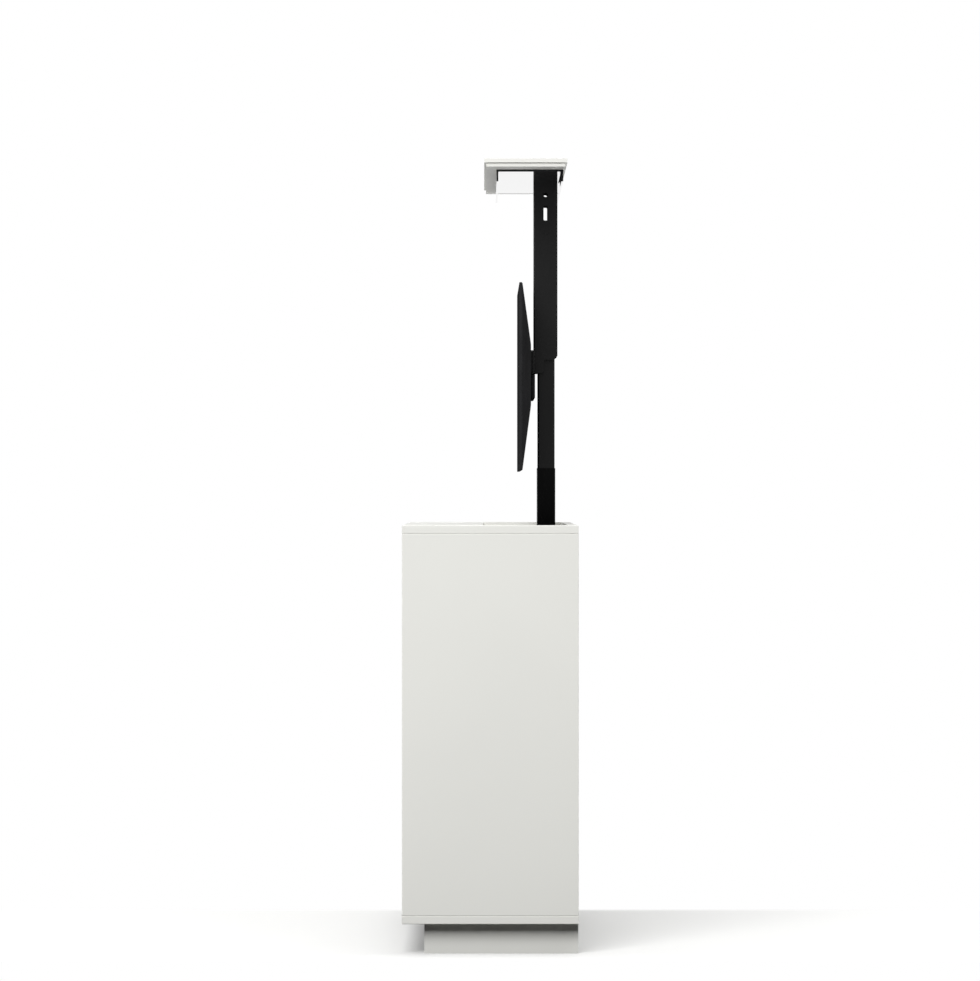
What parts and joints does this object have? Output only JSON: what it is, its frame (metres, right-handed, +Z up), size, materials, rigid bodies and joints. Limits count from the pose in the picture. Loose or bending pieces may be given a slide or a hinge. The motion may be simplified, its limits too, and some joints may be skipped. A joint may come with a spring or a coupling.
{
  "type": "tv lift cabinet",
  "caption": "White TV lift cabinet with flush doors and a telescopic column that raises a flat television and the lid above it.",
  "frame": {"origin": "on the floor under the middle of the cabinet", "axes": "+Z up, -Y towards the door front, +X to the right of someone facing the doors"},
  "size_m": [1.25, 0.43, 1.943],
  "materials": {
    "lacquer": "satin white lacquer on fibreboard",
    "coated_steel": "satin black powder coat",
    "gloss_steel": "gloss black enamel",
    "black_plastic": "fine grained black moulding",
    "screen_glass": "dark display glass",
    "zinc_steel": "zinc plated",
    "grey_plastic": "moulded grey"
  },
  "bodies": {
    "cabinet": {"top_board": "lacquer", "bottom_board": "lacquer", "side_panel_left": "lacquer", "side_panel_right": "lacquer", "centre_upright": "lacquer", "bay_divider": "lacquer", "shelf_left_1": "lacquer", "shelf_left_2": "lacquer", "shelf_right_1": "lacquer", "shelf_right_2": "lacquer", "plinth_front": "lacquer", "plinth_back": "lacquer", "plinth_left": "lacquer", "plinth_right": "lacquer", "back_panel_left": "lacquer", "back_panel_right": "lacquer", "access_panel": "lacquer", "lift_motor": "zinc_steel", "latch_1": "grey_plastic", "latch_2": "grey_plastic", "latch_3": "grey_plastic", "latch_4": "grey_plastic", "gear_housing": "grey_plastic", "outer_column": "coated_steel", "foot_plate": "coated_steel", "guide_collar": "black_plastic", "control_box": "black_plastic"},
    "middle_stage": {"middle_column": "coated_steel"},
    "upper_stage": {"inner_column": "coated_steel", "carriage": "coated_steel", "column_head": "zinc_steel", "head_bolt_left": "coated_steel", "head_bolt_right": "coated_steel", "mount_rail": "coated_steel", "mount_pad_left": "coated_steel", "mount_pad_right": "coated_steel", "tv_frame": "black_plastic", "tv_glass": "screen_glass", "tv_rear_shell": "black_plastic", "tv_rear_module": "black_plastic", "lid_top": "lacquer", "lid_plug": "lacquer", "lid_channel": "gloss_steel"},
    "door_1_body": {"door_1": "lacquer", "hinge_1_top": "zinc_steel", "hinge_1_bottom": "zinc_steel"},
    "door_2_body": {"door_2": "lacquer", "hinge_2_top": "zinc_steel", "hinge_2_bottom": "zinc_steel"},
    "door_3_body": {"door_3": "lacquer", "hinge_3_top": "zinc_steel", "hinge_3_bottom": "zinc_steel"},
    "door_4_body": {"door_4": "lacquer", "hinge_4_top": "zinc_steel", "hinge_4_bottom": "zinc_steel"}
  },
  "joints": [
    {"name": "middle_stage_slide", "type": "slide", "parent": "cabinet", "child": "middle_stage", "axis": [0, 0, 1], "range_m": [-0.449, 0]},
    {"name": "upper_stage_slide", "type": "slide", "parent": "middle_stage", "child": "upper_stage", "axis": [0, 0, 1], "range_m": [-0.449, 0]},
    {"name": "door_1_hinge", "type": "hinge", "parent": "cabinet", "child": "door_1_body", "pos_m": [-0.6, -0.211, 0.56], "axis": [0, 0, -1], "range_deg": [0, 90]},
    {"name": "door_2_hinge", "type": "hinge", "parent": "cabinet", "child": "door_2_body", "pos_m": [-0.015, -0.211, 0.56], "axis": [0, 0, 1], "range_deg": [0, 90]},
    {"name": "door_3_hinge", "type": "hinge", "parent": "cabinet", "child": "door_3_body", "pos_m": [0.015, -0.211, 0.56], "axis": [0, 0, -1], "range_deg": [0, 90]},
    {"name": "door_4_hinge", "type": "hinge", "parent": "cabinet", "child": "door_4_body", "pos_m": [0.6, -0.211, 0.56], "axis": [0, 0, 1], "range_deg": [0, 90]}
  ],
  "couplings": [
    {"joint": "upper_stage_slide", "follows": "middle_stage_slide", "ratio": 1}
  ]
}
